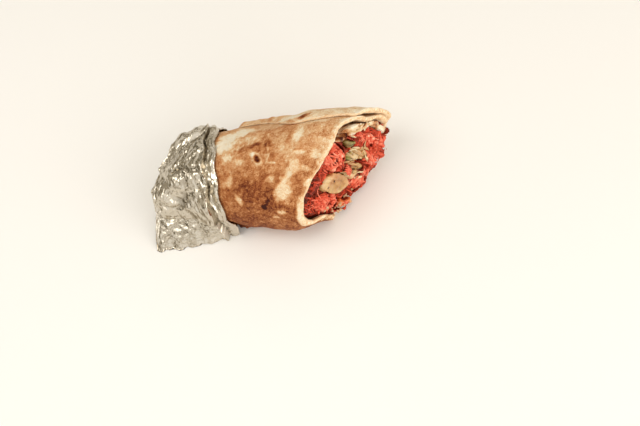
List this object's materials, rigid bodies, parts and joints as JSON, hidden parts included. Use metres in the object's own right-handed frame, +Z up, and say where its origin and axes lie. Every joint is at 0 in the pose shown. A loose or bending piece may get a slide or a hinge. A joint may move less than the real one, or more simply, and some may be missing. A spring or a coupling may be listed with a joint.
{
  "type": "chicken naan roll",
  "caption": "Half of a naan roll cut on the slant: flatbread rolled round spiced chicken, onion and green pepper, its uncut end wrapped in kitchen foil, lying flat.",
  "frame": {"origin": "the middle of the footprint, on the surface the roll lies on", "axes": "+X along the roll from the foil to the cut end, +Y to the back of the roll, +Z up"},
  "size_m": [0.1379, 0.0793, 0.063],
  "materials": {
    "naan": "griddled flatbread, dry and matt, browned and blistered outside with cream patches",
    "chicken": "moist pulled chicken in a red spice paste",
    "onion": "soft cooked onion, translucent and moist",
    "pepper": "cooked green pepper, moist",
    "foil": "crumpled bright kitchen foil"
  },
  "bodies": {
    "root": {"naan": "naan", "filling": "chicken", "chicken_1": "chicken", "chicken_2": "chicken", "chicken_3": "chicken", "chicken_4": "chicken", "chicken_5": "chicken", "chicken_6": "chicken", "onion_1": "onion", "onion_2": "onion", "onion_3": "onion", "onion_4": "onion", "pepper_1": "pepper", "pepper_2": "pepper", "foil": "foil"}
  },
  "joints": []
}
